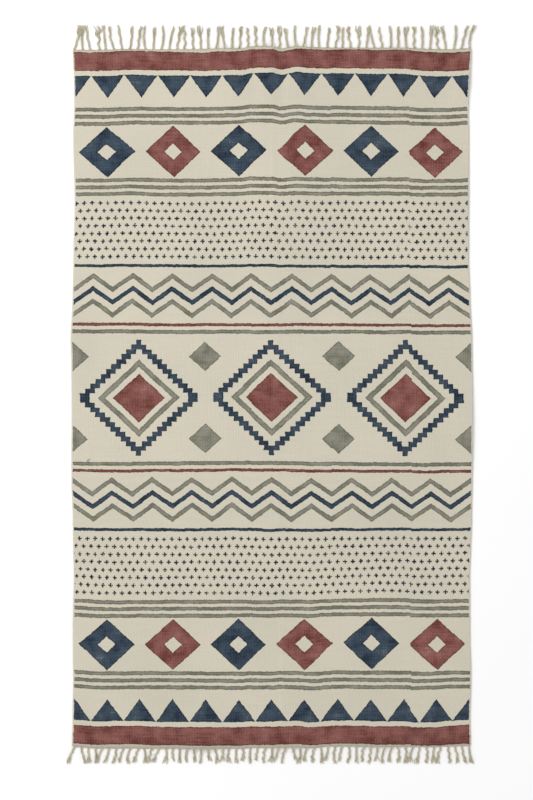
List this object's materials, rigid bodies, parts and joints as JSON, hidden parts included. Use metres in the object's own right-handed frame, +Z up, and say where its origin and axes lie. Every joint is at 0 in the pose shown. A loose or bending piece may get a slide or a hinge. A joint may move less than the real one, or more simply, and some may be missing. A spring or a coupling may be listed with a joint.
{
  "type": "dhurrie rug",
  "caption": "Flat-woven cotton floor rug with a block-printed banded pattern, plain end bands and a tasselled warp fringe along each end.",
  "frame": {"origin": "on the floor, under the middle of the rug and its fringes", "axes": "+Z up, out of the printed face; +Y along the rug's length; +X across its width"},
  "size_m": [0.9328, 1.684, 0.01],
  "materials": {
    "printed_cotton": "matte flat weave, printed in navy, brick red and sage grey on cream",
    "warp_yarn": "matte unbleached cotton yarn"
  },
  "bodies": {
    "root": {"rug_cloth": "printed_cotton", "fringe_far_end": "warp_yarn", "fringe_near_end": "warp_yarn"}
  },
  "joints": []
}
